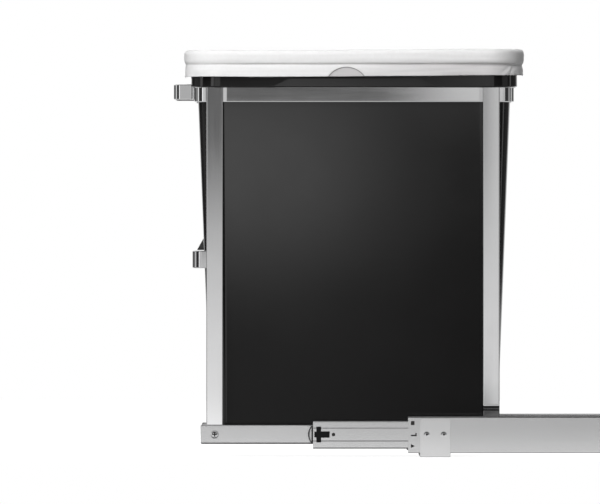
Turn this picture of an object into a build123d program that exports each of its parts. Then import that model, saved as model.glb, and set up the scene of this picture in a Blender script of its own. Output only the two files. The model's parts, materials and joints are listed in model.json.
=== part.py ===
from build123d import *
import math
import os

# In-cabinet pull-out waste bin, in millimetres, shown drawn out part of the way.
# A plastic bucket with a bag liner hangs by its rim in a frame of flat steel bar.
# The frame rides on two telescopic ball slides, which are riveted to brackets on the cabinet floor.
# +X runs to the back of the cabinet, the bin is drawn out along -X, and +Z is up.
# The origin is the centre of the four floor screws, on the floor.
# Left and right are those of someone who stands in front and draws the bin out, so left is +Y.

# Slides: three rails of rolled sheet, one in another, with two rows of balls between each pair
outer_rail_length = 400.0
slide_floor_gap = 3.1
rail_sheet = 1.2
rail_bend = 0.4
inner_rail_height = 23.4
inner_rail_corner = 2.0
outer_web_bend = 1.5
ball_diameter = 4.76
race_clearance = 0.12
ball_row_lean = 32.5
race_lip_angle = 60.0
groove_half_angle = 35.0
middle_dip_angle = 10.0
middle_band_half_height = 6.9
middle_band_rise = 0.6
band_step_angle = 45.0
middle_dimple_diameter = 4.0
middle_dimple_setback = 24.6

# Travel: how far the bin is drawn out, and how far the middle rails have come with it
drawn_out = 249.0
middle_drawn_out = 114.0

# Ball cages: channels of thin strip with a pocket for each ball
cage_strip = 0.6
cage_bend = 0.4
cage_edge = 0.7
pocket_clearance = 0.1
ball_pitch = 24.0
outer_cage_length = 204.0
outer_cage_setback = 93.0
outer_cage_gap = 0.3
outer_cage_room = 0.4
outer_balls_per_row = 8
inner_cage_length = 170.0
inner_cage_setback = 113.0
inner_cage_gap = 0.5
inner_balls_per_row = 7

# Plastic stops: a clip in the front end of each middle rail, a bumper in the back end of each outer rail
bumper_length = 6.7
bumper_height = 34.0
bumper_depth = 6.5
bumper_corner = 2.0
bumper_slot_height = 8.0
bumper_slot_depth = 3.0
stop_clearance = 0.3
clip_plate = 0.8
clip_back_gap = 0.09
clip_plate_height = 12.0
clip_plate_end = 22.0
clip_bar_setback = 4.2
clip_bar_width = 5.4
clip_bar_height = 18.6
clip_nub_length = 2.4
clip_nub_height = 6.4
clip_arm_length = 10.2
clip_arm_height = 7.2
clip_window_clearance = 0.15
nose_bar = 1.4
nose_height = 21.0
nose_reach = 4.0
nose_strip = 1.3

# Stamped stops in the web at the front end of each outer rail
lance_setback = 3.6
lance_spread = 13.8
lance_window_length = 4.0
lance_window_height = 4.5
lance_hook_length = 6.6
lance_hook_height = 3.6
lance_hook_slot = 1.4
lance_triangle_size = 4.2

# Floor brackets: steel straps across the floor with ends turned up outside the outer rails
bracket_sheet = 2.0
bracket_bend = 1.5
bracket_width = 36.6
bracket_height = 46.6
bracket_setback = 14.4
bracket_corner = 2.5
floor_screw_diameter = 5.0
floor_screw_half_span = 90.0
rivet_pitch = 20.4
rivet_shank_diameter = 4.0
rivet_head_diameter = 7.2
rivet_head_height = 1.2
rivet_head_round = 0.9
rivet_hollow_diameter = 2.2
rivet_hollow_depth = 0.9

# Frame of flat steel bar
bar_thickness = 2.5
bar_bend = 2.5
leg_face = 132.5
leg_width = 20.0
front_leg_rail_margin = 17.0
rear_leg_rail_margin = 44.0
leg_dip_depth = 3.0
leg_dip_angle = 24.0
leg_dip_rise = 13.6
leg_dip_floor = 8.0
hoop_front_overhang = 24.5
hoop_rear_overhang = 27.5
hoop_corner = 14.0
hoop_height = 18.4
hoop_top = 444.8
hoop_joggle_run = 4.5
hoop_joggle_gap = 0.8
handle_reach = 25.0
handle_half_width = 74.4
handle_splay = 12.0
handle_height = 18.4
handle_lift = 3.2
handle_foot = 11.0
handle_corner = 7.0
band_reach = 2.3
band_height = 21.0
band_bottom = 227.0
band_bend = 9.0
band_overlap = 18.0

# Screws that hold the inner rails to the legs
rail_screw_diameter = 5.0
rail_screw_head_diameter = 10.0
rail_screw_head_height = 2.6
rail_screw_head_round = 1.6
rail_screw_tail = 1.5
rail_screw_recess_width = 1.4
rail_screw_recess_length = 5.4
rail_screw_recess_depth = 1.4
fastener_clearance = 0.05

# Bucket: one moulding with a tapered wall, a stepped rim, and a skirt with ribs that sit on the hoop
bucket_wall = 2.5
bucket_floor = 3.0
bucket_draft_angle = 2.22
bucket_corner = 36.0
bucket_bottom_edge = 5.0
bucket_hoop_clearance = 1.25
bucket_floor_gap = 7.7
rim_height = 42.6
rim_seat_clearance = 0.2
skirt_overhang = 4.0
skirt_corner = 36.0
bead_overhang = 6.9
bead_height = 14.0
bead_edge = 4.0
rib_thickness = 2.2
rib_pitch = 20.0
ribs_beside_grip = 3
rear_rib_pitch = 40.0
rear_ribs = 5
grip_half_length = 78.0
grip_slant = 19.0
grip_rise = 9.0
grip_margin = 2.0
front_grip_margin = 4.0
tuck_offset = -9.3
tuck_length = 44.4
tuck_margin = 5.4
lug_gap = 0.8
lug_height = 16.5
lug_tip_height = 0.8
lug_hoop_clearance = 0.6
lug_width = 96.0

# Bag liner: film that lines the bucket and is folded over its rim as a cuff
film = 1.0
film_clearance = 0.3
cuff_draw_in = 2.2

# Places and sizes that follow from the ones above
race = ball_diameter / 2 + race_clearance
race_back = race + rail_sheet
rail_corner = rail_bend + rail_sheet
inner_half = inner_rail_height / 2
groove = math.radians(groove_half_angle)
inner_ball_u = (race + rail_corner) * math.sin(groove) + rail_corner
inner_ball_v = inner_half + (race + rail_corner) * math.cos(groove) - rail_corner
lean = math.radians(ball_row_lean)
outer_ball_u = inner_ball_u + (race + race_back) * math.sin(lean)
outer_ball_v = inner_ball_v + (race + race_back) * math.cos(lean)
outer_half = outer_ball_v + race_back
slide_centre_height = bracket_sheet + slide_floor_gap + outer_half
dip = math.radians(middle_dip_angle)
middle_web_u = outer_ball_u + (race + rail_corner) * math.sin(dip) + rail_corner
middle_corner_v = outer_ball_v - (race + rail_corner) * math.cos(dip)
middle_band_u = middle_web_u + middle_band_rise
outer_cage_web_u = middle_band_u + outer_cage_room + cage_strip
outer_web_u = outer_cage_web_u + outer_cage_gap
slide_thickness = outer_web_u + rail_sheet
inner_flange_u = inner_ball_u + race_back * math.sin(groove)
inner_cage_web_u = inner_flange_u + inner_cage_gap + cage_strip
clip_back_u = middle_web_u - rail_sheet - clip_back_gap
rail_length = outer_rail_length - bumper_length - stop_clearance
outer_front = -outer_rail_length / 2
outer_back = outer_rail_length / 2
inner_front = outer_front - drawn_out
middle_front = outer_front - middle_drawn_out
outer_cage_front = outer_front + outer_cage_setback - middle_drawn_out / 2
inner_cage_front = outer_front + inner_cage_setback - (drawn_out + middle_drawn_out) / 2
bracket_x = outer_back - bracket_setback - bracket_width / 2
rivet_xs = [end * bracket_x + side * rivet_pitch / 2 for end in (-1, 1) for side in (-1, 1)]
rivet_hole = rivet_shank_diameter + 2 * fastener_clearance
rail_screw_hole = rail_screw_diameter + 2 * fastener_clearance
front_leg_x = inner_front + front_leg_rail_margin
rear_leg_x = inner_front + rail_length - rear_leg_rail_margin
rail_screw_xs = (front_leg_x, rear_leg_x)
bracket_face = leg_face + slide_thickness + bracket_sheet
leg_inside = leg_face - bar_thickness
leg_bottom = slide_centre_height - inner_half
leg_dip_top = slide_centre_height + outer_half + leg_dip_rise
hoop_front = front_leg_x - hoop_front_overhang
hoop_length = rear_leg_x + hoop_rear_overhang - hoop_front
frame_x = hoop_front + hoop_length / 2
handle_bottom = hoop_top - hoop_height + handle_lift
bucket_length = hoop_length - 2 * (bar_thickness + bucket_hoop_clearance)
bucket_width = 2 * (leg_inside - bar_thickness - bucket_hoop_clearance)
bucket_bottom = leg_bottom + bar_thickness + bucket_floor_gap
bucket_top = hoop_top + rim_height
skirt_length = hoop_length + 2 * skirt_overhang
skirt_width = 2 * (leg_face + skirt_overhang)
skirt_bottom = hoop_top + rim_seat_clearance
grip_top = skirt_bottom + grip_rise
bead_bottom = bucket_top - bead_height
cuff_bottom = grip_top + grip_margin
lug_bottom = band_bottom + band_height + lug_gap


def bent_line(start, heading, moves):
    """A chain of runs and bends without kinks. A move is (length,) or (radius, turn), left positive."""
    at = Vector(*start)
    edges = []
    for move in moves:
        ahead = Vector(math.cos(math.radians(heading)), math.sin(math.radians(heading)))
        if len(move) == 1:
            edge = Line(at, at + ahead * move[0])
        else:
            edge = JernArc(at, ahead, move[0], move[1])
            heading += move[1]
        edges.append(edge)
        at = edge @ 1
    return edges


def sheet_section(start, heading, moves, thickness):
    """The section of a bent sheet. The moves follow one face, and the sheet lies to the right of it."""
    aside = math.radians(heading - 90)
    back_start = Vector(*start) + Vector(math.cos(aside), math.sin(aside)) * thickness
    back_moves = [m if len(m) == 1 else (m[0] + math.copysign(thickness, m[1]), m[1]) for m in moves]
    face = bent_line(start, heading, moves)
    back = bent_line(back_start, heading, back_moves)
    ends = [Line(face[0] @ 0, back[0] @ 0), Line(face[-1] @ 1, back[-1] @ 1)]
    return make_face(face + back + ends)


def both_halves(moves):
    """A section that is the same on both sides of its middle, from the moves of its first half."""
    return moves + moves[::-1]


def step_moves(shift, angle, bend, thickness):
    """Two opposite bends that step a sheet sideways, to the left where the shift is positive."""
    wide = bend + thickness
    first, second = (bend, wide) if shift > 0 else (wide, bend)
    slope = math.radians(angle)
    across = abs(shift) - (bend + wide) * (1 - math.cos(slope))
    turn = math.copysign(angle, shift)
    return [(first, turn), (across / math.sin(slope),), (second, -turn)]


def step_length(shift, angle, bend, thickness):
    """How far such a step runs along the sheet."""
    slope = math.radians(angle)
    bends = 2 * bend + thickness
    across = abs(shift) - bends * (1 - math.cos(slope))
    return bends * math.sin(slope) + across / math.tan(slope)


def along_x(section, front, length):
    """A section on (Y, Z), drawn out along X from its front end."""
    return extrude(Plane.YZ.offset(front) * section, amount=length)


def across_y(outline, from_y, to_y):
    """An outline on (X, Z), drawn from one Y to a larger one."""
    return extrude(Plane.XZ.offset(-to_y) * outline, amount=to_y - from_y)


def upright(outline, bottom, top):
    """An outline on (X, Y), drawn up from one height to another."""
    return extrude(Pos(0, 0, bottom) * outline, amount=top - bottom)


def pin_along_y(x, from_y, to_y, z, diameter):
    """A round pin or drill across the object."""
    return Pos(x, (from_y + to_y) / 2, z) * Rot(90, 0, 0) * Cylinder(diameter / 2, to_y - from_y)


def plate(front, back, middle, height):
    """A flat outline on (X, Z) between two ends, about a middle height."""
    return Pos((front + back) / 2, middle) * Rectangle(back - front, height)


def slide_point(u, v):
    """A point of the left slide's section, u out from the leg's face and v up from the slide's middle."""
    return (leg_face + u, slide_centre_height + v)


def race_point(u, v, radius, angle):
    """A point on a race round a ball at (u, v), at an angle from straight up towards the outside."""
    turn = math.radians(angle)
    return slide_point(u + radius * math.sin(turn), v + radius * math.cos(turn))


def other_side(shape):
    """The right-hand twin of a left-hand piece."""
    return mirror(shape, about=Plane.XZ)


def on_both_sides(shapes):
    """One group of the left-hand shapes and their right-hand twins."""
    return Compound([solid for s in shapes for solid in (*s.solids(), *other_side(s).solids())])


def stamped_stops():
    """A window, a hook and a triangle, one above another."""
    front = outer_front + lance_setback
    hook_back = front + lance_hook_length
    window_z = slide_centre_height + lance_spread
    hook_z = slide_centre_height - (lance_hook_height - lance_hook_slot) / 2
    triangle_z = slide_centre_height - lance_spread
    window = plate(front, front + lance_window_length, window_z, lance_window_height)
    hook = plate(hook_back - lance_hook_slot, hook_back, slide_centre_height, lance_hook_height)
    hook += plate(front, hook_back, hook_z, lance_hook_slot)
    triangle = make_face(
        Polyline(
            (front, triangle_z + lance_triangle_size / 2),
            (front + lance_triangle_size, triangle_z),
            (front, triangle_z - lance_triangle_size / 2),
            close=True,
        )
    )
    return window + hook + triangle


def outer_rail():
    """Fixed rail: its web is outside, and its edges are rolled round the outer balls."""
    bend = outer_web_bend + rail_sheet
    half = [
        (race_back, -race_lip_angle),
        (slide_thickness - bend - outer_ball_u,),
        (bend, -90),
        (outer_half - bend,),
    ]
    start = race_point(outer_ball_u, outer_ball_v, race_back, -race_lip_angle)
    section = sheet_section(start, race_lip_angle, both_halves(half), rail_sheet)
    rail = along_x(section, outer_front, outer_rail_length)
    web = leg_face + slide_thickness
    rail -= across_y(stamped_stops(), web - 2 * rail_sheet, web + rail_sheet)
    for x in rivet_xs:
        rail -= pin_along_y(x, web - 2 * rail_sheet, web + rail_sheet, slide_centre_height, rivet_hole)
    return rail


def middle_rail():
    """Rail between the other two: each flange is an S, over the inner balls and under the outer ones."""
    step = step_length(middle_band_rise, band_step_angle, rail_bend, rail_sheet)
    half = [
        (race_back, -race_lip_angle - ball_row_lean),
        (race, ball_row_lean + middle_dip_angle),
        (rail_corner, -90 - middle_dip_angle),
        (middle_corner_v - middle_band_half_height - step,),
        *step_moves(middle_band_rise, band_step_angle, rail_bend, rail_sheet),
        (middle_band_half_height,),
    ]
    start = race_point(inner_ball_u, inner_ball_v, race_back, -race_lip_angle)
    section = sheet_section(start, race_lip_angle, both_halves(half), rail_sheet)
    rail = along_x(section, middle_front, rail_length)
    dimple_x = middle_front + middle_dimple_setback
    dimple = Pos(dimple_x, slide_centre_height) * Circle(middle_dimple_diameter / 2)
    web = leg_face + middle_web_u
    openings = clip_outline(clip_window_clearance) + dimple
    return rail - across_y(openings, web - 2 * rail_sheet, web + middle_band_rise + rail_sheet)


def inner_rail():
    """Moving rail: its web lies on the legs, and its flanges are grooved for the inner balls."""
    half = [
        (race, 2 * groove_half_angle),
        (rail_corner, -90 - groove_half_angle),
        (inner_half - rail_corner,),
    ]
    start = race_point(inner_ball_u, -inner_ball_v, race, groove_half_angle)
    section = sheet_section(start, 180 - groove_half_angle, both_halves(half), rail_sheet)
    rail = along_x(section, inner_front, rail_length)
    z = slide_centre_height
    middle = inner_front + rail_length / 2
    ends = Pos(middle, z) * RectangleRounded(rail_length, inner_rail_height, inner_rail_corner)
    rail &= across_y(ends, leg_face, leg_face + slide_thickness)
    for x in rail_screw_xs:
        rail -= pin_along_y(x, leg_face - rail_sheet, leg_face + 2 * rail_sheet, z, rail_screw_hole)
    return rail


def ball_places(front, length, count, u, v):
    """The centres of a cage's balls, in a row above the slide's middle and a row below it."""
    first = front + length / 2 - ball_pitch * (count - 1) / 2
    y, z = slide_point(u, 0)
    return [Pos(first + ball_pitch * i, y, z + row * v) for i in range(count) for row in (1, -1)]


def ball_cage(front, length, count, ball_u, ball_v, web_u):
    """A channel of strip whose flanges hold the balls at their widest and whose web ends at web_u."""
    pocket = ball_diameter / 2 + pocket_clearance
    corner = cage_bend + cage_strip
    edge_u = ball_u - pocket - cage_edge
    flange_v = ball_v + cage_strip / 2
    half = [(web_u - corner - edge_u,), (corner, -90), (flange_v - corner,)]
    section = sheet_section(slide_point(edge_u, flange_v), 0, both_halves(half), cage_strip)
    cage = along_x(section, front, length)
    for place in ball_places(front, length, count, ball_u, ball_v):
        cage -= place * Cylinder(pocket, 2 * cage_strip)
    return cage


def cage_balls(front, length, count, ball_u, ball_v):
    """The balls of one cage."""
    places = ball_places(front, length, count, ball_u, ball_v)
    return Compound([(place * Sphere(ball_diameter / 2)).solid() for place in places])


def clip_outline(room):
    """The cross that shows through the middle rail's web, with some room round it."""
    front = middle_front + clip_bar_setback
    back = front + clip_bar_width
    bar = plate(front - room, back + room, slide_centre_height, clip_bar_height + 2 * room)
    nub = plate(front - clip_nub_length - room, back, slide_centre_height, clip_nub_height + 2 * room)
    arm = plate(front, back + clip_arm_length + room, slide_centre_height, clip_arm_height + 2 * room)
    return bar + nub + arm


def clip_nose(front):
    """A sprung bow in front of the clip's bar, with a gap behind it."""
    half = nose_height / 2
    middle = slide_centre_height
    bow = ThreePointArc((front, middle + half), (front - nose_reach, middle), (front, middle - half))
    inside = ThreePointArc(
        (front, middle + half - nose_strip),
        (front - nose_reach + nose_strip, middle),
        (front, middle - half + nose_strip),
    )
    return make_face([bow, inside, Line(bow @ 0, inside @ 0), Line(bow @ 1, inside @ 1)])


def stop_clip():
    """Plastic clip behind the middle rail's web: a plate, a cross through the web and a nose in front."""
    back_face = leg_face + clip_back_u
    front_face = leg_face + middle_band_u
    nose_back = middle_front - stop_clearance
    nose_front = nose_back - nose_bar
    backing = plate(nose_front, middle_front + clip_plate_end, slide_centre_height, clip_plate_height)
    clip = across_y(backing + clip_outline(0), back_face - clip_plate, back_face)
    clip += across_y(clip_outline(0), back_face, front_face)
    bumper = plate(nose_front, nose_back, slide_centre_height, nose_height) + clip_nose(nose_front)
    return clip + across_y(bumper, back_face - clip_plate, front_face)


def rear_bumper():
    """Plastic block in the back end of the outer rail, against its web, with a slot across its front."""
    web = leg_face + outer_web_u
    front = outer_back - bumper_length
    outline = Pos(web - bumper_depth / 2, slide_centre_height) * RectangleRounded(
        bumper_depth, bumper_height, bumper_corner
    )
    slot = plate(front, front + bumper_slot_depth, slide_centre_height, bumper_slot_height)
    return along_x(outline, front, bumper_length) - across_y(slot, web - bumper_depth, web)


def floor_bracket(x):
    """A strap across the floor with screw holes, turned up at both ends, where the rails are riveted on."""
    bend = bracket_bend + bracket_sheet
    half = [(bracket_height - bend,), (bend, -90), (bracket_face - bend,)]
    section = sheet_section((bracket_face, bracket_height), -90, both_halves(half), bracket_sheet)
    bracket = along_x(section, x - bracket_width / 2, bracket_width)
    ends = Pos(x, 0) * RectangleRounded(bracket_width, 2 * bracket_height, bracket_corner)
    bracket &= across_y(ends, -bracket_face, bracket_face)
    for side in (-1, 1):
        place = Pos(x, side * floor_screw_half_span, bracket_sheet / 2)
        bracket -= place * Cylinder(floor_screw_diameter / 2, 2 * bracket_sheet)
    reach = 2 * bracket_face
    for end in (-1, 1):
        rivet_x = x + end * rivet_pitch / 2
        bracket -= pin_along_y(rivet_x, -reach, reach, slide_centre_height, rivet_hole)
    return bracket


def bracket_rivet(x):
    """A rounded head with a hollow on the bracket, and a shank that ends level with the rail's web."""
    z = slide_centre_height
    top = bracket_face + rivet_head_height
    head = pin_along_y(x, bracket_face, top, z, rivet_head_diameter)
    head = fillet(head.faces().sort_by(Axis.Y)[-1].edges(), rivet_head_round)
    head -= pin_along_y(x, top - rivet_hollow_depth, top, z, rivet_hollow_diameter)
    return head + pin_along_y(x, leg_face + outer_web_u, bracket_face, z, rivet_shank_diameter)


def leg_frame(x, side_moves):
    """A U of flat bar, down one side, across under the bucket and up the other, with screw holes."""
    corner = bar_bend + bar_thickness
    half = [*side_moves, (corner, -90), (leg_face - corner,)]
    section = sheet_section((leg_face, hoop_top), -90, both_halves(half), bar_thickness)
    frame = along_x(section, x - leg_width / 2, leg_width)
    return frame - pin_along_y(x, -2 * leg_face, 2 * leg_face, slide_centre_height, rail_screw_hole)


def front_leg_frame():
    """The front legs are straight."""
    return leg_frame(front_leg_x, [(hoop_top - leg_bottom - bar_bend - bar_thickness,)])


def rear_leg_frame():
    """The rear legs dip inwards past the top edges of the outer rails."""
    dip_moves = (leg_dip_angle, bar_bend, bar_thickness)
    dip_end = leg_dip_top - 2 * step_length(leg_dip_depth, *dip_moves) - leg_dip_floor
    side_moves = [
        (hoop_top - leg_dip_top,),
        *step_moves(-leg_dip_depth, *dip_moves),
        (leg_dip_floor,),
        *step_moves(leg_dip_depth, *dip_moves),
        (dip_end - leg_bottom - bar_bend - bar_thickness,),
    ]
    return leg_frame(rear_leg_x, side_moves)


def top_hoop():
    """A ring of flat bar. Between the legs it steps out, so that its face and theirs are level."""
    front = front_leg_x + leg_width / 2 + hoop_joggle_gap
    rear = rear_leg_x - leg_width / 2 - hoop_joggle_gap
    outline = Pos(frame_x, 0) * RectangleRounded(hoop_length, 2 * leg_inside, hoop_corner)
    for side in (-1, 1):
        outline += make_face(
            Polyline(
                (front, 0),
                (front, side * leg_inside),
                (front + hoop_joggle_run, side * leg_face),
                (rear - hoop_joggle_run, side * leg_face),
                (rear, side * leg_inside),
                (rear, 0),
                close=True,
            )
        )
    inside = offset(outline, amount=-bar_thickness, kind=Kind.INTERSECTION)
    return upright(outline - inside, hoop_top - hoop_height, hoop_top)


def handle_side():
    """A side of the handle, from its foot to the front: the moves along its face, and its run across."""
    angle = 90 - handle_splay
    slope = math.radians(angle)
    foot_bend = bar_bend + bar_thickness
    bends = foot_bend + handle_corner
    out = handle_reach - bar_thickness - bends * (1 - math.cos(slope))
    moves = [(foot_bend, -angle), (out / math.sin(slope),), (handle_corner, angle)]
    return moves, bends * math.sin(slope) + out / math.tan(slope)


def handle_half_span():
    """Half the handle's width over its feet."""
    moves, run = handle_side()
    return handle_half_width + run + handle_foot


def front_handle():
    """A splayed U of flat bar, with feet that lie on the front of the hoop."""
    moves, run = handle_side()
    half = [(handle_foot,), *moves, (handle_half_width,)]
    section = sheet_section((hoop_front, handle_half_span()), -90, both_halves(half), bar_thickness)
    return upright(section, handle_bottom, handle_bottom + handle_height)


def lower_front_band():
    """A U of flat bar round the front of the bucket, on the insides of the front legs."""
    corner = band_bend + bar_thickness
    front = hoop_front - band_reach
    rear = front_leg_x - leg_width / 2 + band_overlap
    half = [(rear - front - corner,), (corner, -90), (leg_inside - corner,)]
    section = sheet_section((rear, -leg_inside), 180, both_halves(half), bar_thickness)
    return upright(section, band_bottom, band_bottom + band_height)


def rail_screw(x):
    """A pan-head screw with a cross recess, through the inner rail and the leg."""
    z = slide_centre_height
    seat = leg_face + rail_sheet
    top = seat + rail_screw_head_height
    head = pin_along_y(x, seat, top, z, rail_screw_head_diameter)
    head = fillet(head.faces().sort_by(Axis.Y)[-1].edges(), rail_screw_head_round)
    slot = Box(rail_screw_recess_length, 2 * rail_screw_recess_depth, rail_screw_recess_width)
    head -= Pos(x, top, z) * (slot + Rot(0, 90, 0) * slot)
    return head + pin_along_y(x, leg_inside - rail_screw_tail, seat, z, rail_screw_diameter)


def bucket_section(z, inset):
    """The bucket's outline at a height, drawn in by an inset. It is given where it hangs in the hoop."""
    out = (z - hoop_top) * math.tan(math.radians(bucket_draft_angle)) - inset
    outline = RectangleRounded(bucket_length + 2 * out, bucket_width + 2 * out, bucket_corner + out)
    return Pos(frame_x, 0, z) * outline


def tapered(bottom, top, inset):
    """A solid of the bucket's taper between two heights."""
    return loft([bucket_section(bottom, inset), bucket_section(top, inset)], ruled=True)


def rim_outline(out):
    """An outline parallel to the skirt's outer face."""
    length = skirt_length + 2 * out
    width = skirt_width + 2 * out
    return Pos(frame_x, 0) * RectangleRounded(length, width, skirt_corner + out)


def wall_ring(out, wall, bottom, top):
    """A standing wall of the rim, by its outer face and its thickness."""
    return upright(rim_outline(out) - rim_outline(out - wall), bottom, top)


def rim_ribs():
    """Ribs under the rim between wall and skirt, with lower edges that sit on the hoop."""
    wall = bucket_section(skirt_bottom, bucket_wall / 2).bounding_box()
    skirt = rim_outline(-bucket_wall / 2).bounding_box()
    first = grip_half_length + grip_slant + rib_pitch / 2
    outlines = []
    for i in range(ribs_beside_grip):
        for x in (frame_x - first - rib_pitch * i, frame_x + first + rib_pitch * i):
            for side in (-1, 1):
                middle = side * (wall.max.Y + skirt.max.Y) / 2
                outlines.append(Pos(x, middle) * Rectangle(rib_thickness, skirt.max.Y - wall.max.Y))
    for i in range(rear_ribs):
        y = rear_rib_pitch * (i - (rear_ribs - 1) / 2)
        middle = (wall.max.X + skirt.max.X) / 2
        outlines.append(Pos(middle, y) * Rectangle(skirt.max.X - wall.max.X, rib_thickness))
    return [upright(outline, skirt_bottom, bead_bottom + bucket_wall) for outline in outlines]


def bucket_rim():
    """The rim's rolled bead, the step under it, the skirt with grip and bag-tuck openings, and the ribs."""
    rim = upright(rim_outline(bead_overhang), bead_bottom, bucket_top)
    rim = fillet(rim.faces().sort_by(Axis.Z)[-1].edges(), bead_edge)
    step_top = bead_bottom + bucket_wall
    rim -= upright(rim_outline(bead_overhang - bucket_wall), bead_bottom, bucket_top - bucket_wall)
    rim += wall_ring(bead_overhang, bead_overhang + bucket_wall, bead_bottom, step_top)
    rim += wall_ring(0, bucket_wall, skirt_bottom, step_top)
    grip = make_face(
        Polyline(
            (frame_x - grip_half_length - grip_slant, skirt_bottom),
            (frame_x - grip_half_length, grip_top),
            (frame_x + grip_half_length, grip_top),
            (frame_x + grip_half_length + grip_slant, skirt_bottom),
            close=True,
        )
    )
    tuck_x = frame_x + tuck_offset
    tuck_arc = ThreePointArc(
        (tuck_x - tuck_length / 2, cuff_bottom),
        (tuck_x, bead_bottom - tuck_margin),
        (tuck_x + tuck_length / 2, cuff_bottom),
    )
    tuck = make_face([tuck_arc, Line(tuck_arc @ 0, tuck_arc @ 1)])
    skirt_half = skirt_width / 2
    openings = across_y(grip + tuck, skirt_half - 2 * bucket_wall, skirt_half + bucket_wall)
    rim -= [openings, other_side(openings)]
    front_grip_width = 2 * (handle_half_span() + front_grip_margin)
    front_grip = Pos(0, (skirt_bottom + grip_top) / 2) * Rectangle(front_grip_width, grip_rise)
    rim -= along_x(front_grip, frame_x - skirt_length / 2 - bucket_wall, skirt_corner)
    return rim + rim_ribs()


def front_lug():
    """A moulded wedge on the front wall, just above the lower band, that still passes inside the hoop."""
    lug_top = lug_bottom + lug_height
    tip = hoop_front + bar_thickness + lug_hoop_clearance
    root_low = bucket_section(lug_bottom, bucket_wall / 2).bounding_box().min.X
    root_high = bucket_section(lug_top, bucket_wall / 2).bounding_box().min.X
    wedge = make_face(
        Polyline(
            (root_low, lug_bottom),
            (tip, lug_bottom),
            (tip, lug_bottom + lug_tip_height),
            (root_high, lug_top),
            close=True,
        )
    )
    return across_y(wedge, -lug_width / 2, lug_width / 2)


def bucket():
    body = tapered(bucket_bottom, bucket_top, 0)
    body = fillet(body.faces().sort_by(Axis.Z)[0].edges(), bucket_bottom_edge)
    body += [bucket_rim(), front_lug()]
    return body - tapered(bucket_bottom + bucket_floor, bucket_top + bucket_wall, bucket_wall)


def liner_bag():
    """Film inside the bucket, over its rim, and down outside as a cuff that draws in under the bead."""
    inset = bucket_wall + film_clearance
    floor = bucket_bottom + bucket_floor + film_clearance
    top = bucket_top + film_clearance + film
    out = bead_overhang + film_clearance
    crease = bead_bottom - film_clearance - film
    edge = bead_edge + film_clearance
    bag = upright(rim_outline(out + film), crease, top)
    bag = fillet(bag.faces().sort_by(Axis.Z)[-1].edges(), edge + film)
    hollow = upright(rim_outline(out), crease + film, bucket_top + film_clearance)
    bag -= fillet(hollow.faces().sort_by(Axis.Z)[-1].edges(), edge)
    bag -= upright(rim_outline(out - cuff_draw_in), crease, crease + film)
    bag += wall_ring(out + film - cuff_draw_in, film, cuff_bottom, crease + film)
    bag += tapered(floor, top, inset)
    return bag - tapered(floor + film, top + film, inset + film)


outer_cage = (outer_cage_front, outer_cage_length, outer_balls_per_row, outer_ball_u, outer_ball_v)
inner_cage = (inner_cage_front, inner_cage_length, inner_balls_per_row, inner_ball_u, inner_ball_v)

sided_pieces = {
    "outer_rail": outer_rail(),
    "middle_rail": middle_rail(),
    "inner_rail": inner_rail(),
    "outer_ball_cage": ball_cage(*outer_cage, outer_cage_web_u),
    "inner_ball_cage": ball_cage(*inner_cage, inner_cage_web_u),
    "outer_balls": cage_balls(*outer_cage),
    "inner_balls": cage_balls(*inner_cage),
    "stop_clip": stop_clip(),
    "rear_bumper": rear_bumper(),
}
pieces = {
    "front_floor_bracket": floor_bracket(-bracket_x),
    "rear_floor_bracket": floor_bracket(bracket_x),
    "bracket_rivets": on_both_sides([bracket_rivet(x) for x in rivet_xs]),
    "front_leg_frame": front_leg_frame(),
    "rear_leg_frame": rear_leg_frame(),
    "top_hoop": top_hoop(),
    "front_handle": front_handle(),
    "lower_front_band": lower_front_band(),
    "rail_screws": on_both_sides([rail_screw(x) for x in rail_screw_xs]),
    "bucket": bucket(),
    "liner_bag": liner_bag(),
}
for name, piece in sided_pieces.items():
    pieces[f"{name}_left"] = piece
    pieces[f"{name}_right"] = other_side(piece)

os.makedirs("parts", exist_ok=True)
for name, piece in pieces.items():
    export_step(piece, f"parts/{name}.step")
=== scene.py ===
import json
import math

import bmesh
import bpy
from mathutils import Matrix, Vector, noise

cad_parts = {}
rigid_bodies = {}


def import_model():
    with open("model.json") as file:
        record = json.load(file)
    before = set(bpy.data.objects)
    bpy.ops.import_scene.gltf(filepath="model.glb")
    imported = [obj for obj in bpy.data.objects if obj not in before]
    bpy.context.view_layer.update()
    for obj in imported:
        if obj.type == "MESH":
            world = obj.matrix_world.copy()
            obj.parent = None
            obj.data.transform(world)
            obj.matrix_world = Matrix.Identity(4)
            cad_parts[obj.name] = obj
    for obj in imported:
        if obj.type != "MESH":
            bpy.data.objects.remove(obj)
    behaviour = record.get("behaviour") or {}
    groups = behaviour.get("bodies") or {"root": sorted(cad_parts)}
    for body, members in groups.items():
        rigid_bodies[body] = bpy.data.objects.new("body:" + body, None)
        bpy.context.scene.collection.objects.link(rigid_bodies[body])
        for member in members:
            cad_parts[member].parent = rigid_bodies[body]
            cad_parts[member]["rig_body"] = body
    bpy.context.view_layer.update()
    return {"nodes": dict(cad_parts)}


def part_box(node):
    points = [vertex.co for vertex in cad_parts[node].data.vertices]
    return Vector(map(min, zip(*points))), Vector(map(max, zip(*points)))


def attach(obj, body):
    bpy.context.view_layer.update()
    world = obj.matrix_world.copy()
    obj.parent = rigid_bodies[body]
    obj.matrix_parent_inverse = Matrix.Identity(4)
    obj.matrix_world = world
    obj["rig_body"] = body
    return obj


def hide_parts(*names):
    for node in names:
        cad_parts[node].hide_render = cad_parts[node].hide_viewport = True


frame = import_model()


# Floor brackets: two straps of zinc-plated steel strip, pierced and bent up at both ends in a press.
# They are screwed down to the cabinet floor, and the outer rails are riveted to their upturned ends.

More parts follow.
